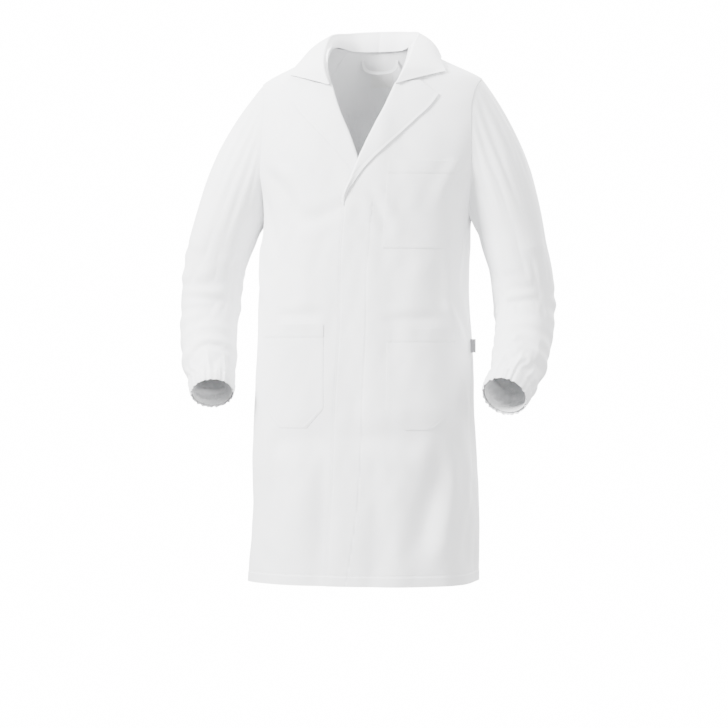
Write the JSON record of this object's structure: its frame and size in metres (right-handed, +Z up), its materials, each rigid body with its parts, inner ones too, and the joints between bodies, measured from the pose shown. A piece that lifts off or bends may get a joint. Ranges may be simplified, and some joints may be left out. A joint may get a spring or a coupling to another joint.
{
  "type": "lab coat",
  "caption": "Long white laboratory coat with notched collar, concealed press-stud front, patch pockets and elastic cuffs, shaped as worn, with opening fronts and bending sleeves.",
  "frame": {"origin": "neck seat: the middle of the wearer's neck at the height of the back neck seam", "axes": "+Z up, -Y is the coat's front, +X is the wearer's left"},
  "size_m": [0.7384, 0.316, 1.0761],
  "materials": {
    "cloth": "matt white twill",
    "facing": "matt white twill, inside",
    "stud": "plated press stud",
    "label": "woven satin, blank",
    "flag": "grey woven tape, blank",
    "tape": "woven tape",
    "elastic": "knitted elastic"
  },
  "bodies": {
    "torso": {"back_left": "cloth", "back_right": "cloth", "front_left_upper": "cloth", "front_right_upper": "cloth", "placket_upper": "facing", "stud_socket_top": "stud", "stud_ball_top": "stud", "breast_pocket": "cloth", "lapel_left": "cloth", "lapel_right": "cloth", "collar_stand": "cloth", "collar_fall": "cloth", "neck_facing": "facing", "neck_label": "label"},
    "left_front": {"front_left_lower": "cloth", "placket_lower": "facing", "stud_sockets": "stud", "hip_pocket_left": "cloth"},
    "right_front": {"front_right_lower": "cloth", "stud_balls": "stud", "hip_pocket_right": "cloth"},
    "left_upper_arm": {"sleeve_head_left": "cloth", "upper_sleeve_left": "cloth"},
    "right_upper_arm": {"sleeve_head_right": "cloth", "upper_sleeve_right": "cloth"},
    "left_forearm": {"forearm_sleeve_left": "cloth", "cuff_casing_left": "cloth", "cuff_elastic_left": "elastic"},
    "right_forearm": {"forearm_sleeve_right": "cloth", "cuff_casing_right": "cloth", "cuff_elastic_right": "elastic"},
    "loop": {"hanger_loop": "tape"},
    "flag": {"side_label": "flag"}
  },
  "joints": [
    {"name": "left_front_open", "type": "hinge", "parent": "torso", "child": "left_front", "pos_m": [0.2064, 0, -0.396], "axis": [-0.0223, 0, 0.9998], "range_deg": [0, 28]},
    {"name": "right_front_open", "type": "hinge", "parent": "torso", "child": "right_front", "pos_m": [-0.2028, 0, -0.396], "axis": [0.0282, 0, 0.9996], "range_deg": [-14, 0]},
    {"name": "left_shoulder", "type": "hinge", "parent": "torso", "child": "left_upper_arm", "pos_m": [0.233, 0, -0.067], "axis": [0, -1, 0], "range_deg": [0, 25]},
    {"name": "right_shoulder", "type": "hinge", "parent": "torso", "child": "right_upper_arm", "pos_m": [-0.197, 0, -0.067], "axis": [0, 1, 0], "range_deg": [0, 25]},
    {"name": "left_elbow", "type": "hinge", "parent": "left_upper_arm", "child": "left_forearm", "pos_m": [0.31, 0.008, -0.484], "axis": [-0.9848, 0, -0.1736], "range_deg": [-20, 35]},
    {"name": "right_elbow", "type": "hinge", "parent": "right_upper_arm", "child": "right_forearm", "pos_m": [-0.306, 0.008, -0.474], "axis": [-0.9945, 0, 0.1045], "range_deg": [-20, 35]},
    {"name": "loop_swing", "type": "hinge", "parent": "torso", "child": "loop", "pos_m": [0.018, 0.07, -0.019], "axis": [-1, 0, 0], "range_deg": [0, 70]},
    {"name": "label_swing", "type": "hinge", "parent": "torso", "child": "flag", "pos_m": [0.2106, 0.0005, -0.581], "axis": [0, 0, 1], "range_deg": [-35, 70]}
  ],
  "couplings": [
    {"joint": "right_front_open", "follows": "left_front_open", "ratio": -0.5}
  ]
}
